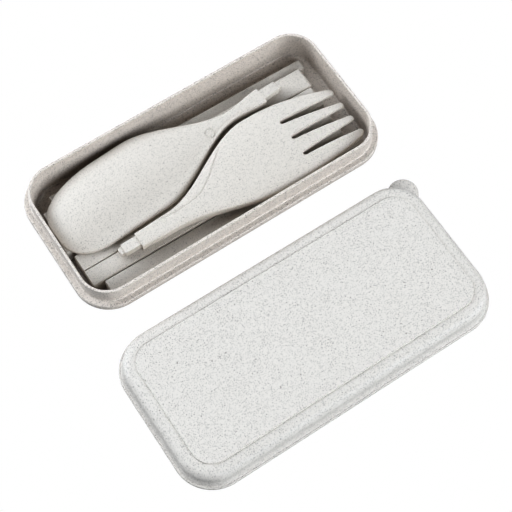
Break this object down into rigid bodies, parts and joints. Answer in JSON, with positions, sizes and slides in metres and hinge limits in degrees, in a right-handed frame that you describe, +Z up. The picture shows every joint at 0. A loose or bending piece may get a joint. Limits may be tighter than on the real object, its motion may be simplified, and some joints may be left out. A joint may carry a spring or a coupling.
{
  "type": "travel cutlery pack",
  "caption": "Open oblong tray with a spoon head, fork head and plug-together handle and chopstick bars inside, and its matching lid with a corner lift tab beside it.",
  "frame": {"origin": "bottom centre of the bounding box of the tray and the lid side by side", "axes": "+X along the long side of both the tray and the lid, +Y from the lid towards the tray, +Z up"},
  "size_m": [0.1326, 0.136, 0.015],
  "materials": {
    "tray_plastic": "fine matte moulded surface with small dark specks",
    "lid_plastic": "fine matte moulded surface with small dark specks",
    "spoon_head_plastic": "fine matte moulded surface with small dark specks",
    "fork_head_plastic": "fine matte moulded surface with small dark specks",
    "spoon_handle_plastic": "fine matte moulded surface with small dark specks",
    "fork_handle_plastic": "fine matte moulded surface with small dark specks",
    "chopstick_handle_1_plastic": "fine matte moulded surface with small dark specks",
    "chopstick_handle_2_plastic": "fine matte moulded surface with small dark specks",
    "chopstick_tip_1_plastic": "fine matte moulded surface with small dark specks",
    "chopstick_tip_2_plastic": "fine matte moulded surface with small dark specks"
  },
  "bodies": {
    "root": {"tray": "tray_plastic", "lid": "lid_plastic", "spoon_head": "spoon_head_plastic", "fork_head": "fork_head_plastic", "spoon_handle": "spoon_handle_plastic", "fork_handle": "fork_handle_plastic", "chopstick_handle_1": "chopstick_handle_1_plastic", "chopstick_handle_2": "chopstick_handle_2_plastic", "chopstick_tip_1": "chopstick_tip_1_plastic", "chopstick_tip_2": "chopstick_tip_2_plastic"}
  },
  "joints": []
}
